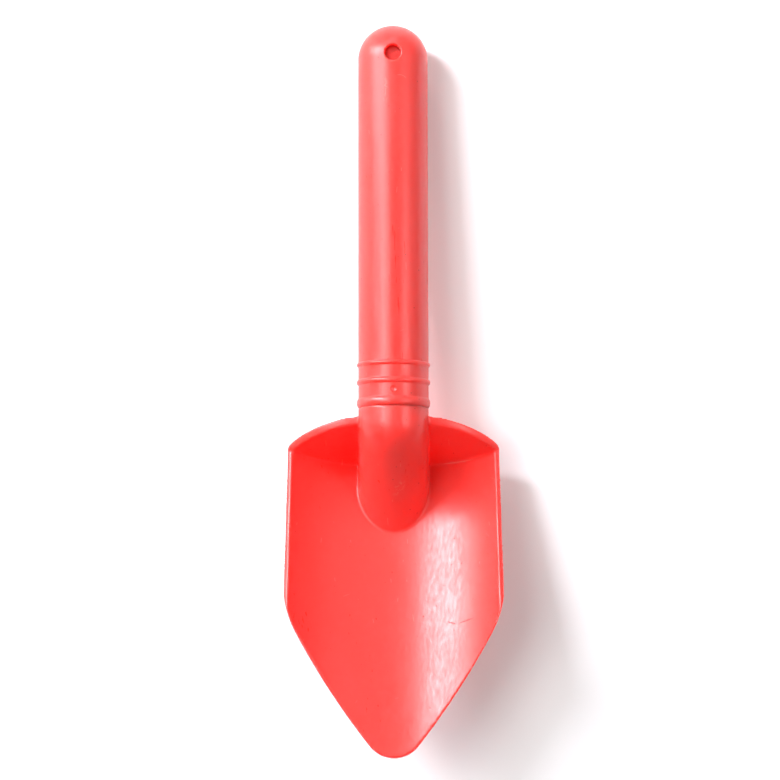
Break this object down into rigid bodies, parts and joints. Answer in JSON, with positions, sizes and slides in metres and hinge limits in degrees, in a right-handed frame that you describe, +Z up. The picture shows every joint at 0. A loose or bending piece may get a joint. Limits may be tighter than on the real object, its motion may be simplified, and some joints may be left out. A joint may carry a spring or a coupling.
{
  "type": "sand shovel",
  "caption": "Small one-hand sand shovel: a pointed, round-bottomed scoop with a leaning back wall, on a hollow round handle that is domed at its end and hooped at its mouth.",
  "frame": {"origin": "on the ground, under the middle of the shovel's length, on its centre plane", "axes": "+Z up from the ground that the shovel lies on, +Y along the shovel to the domed end of the handle, -Y to the tip of the scoop, X across it"},
  "size_m": [0.0744, 0.2498, 0.0412],
  "materials": {
    "coral_plastic": "satin, with faint lengthwise flow lines and light scratches"
  },
  "bodies": {
    "root": {"blade": "coral_plastic", "handle": "coral_plastic", "handle_plug": "coral_plastic"}
  },
  "joints": []
}
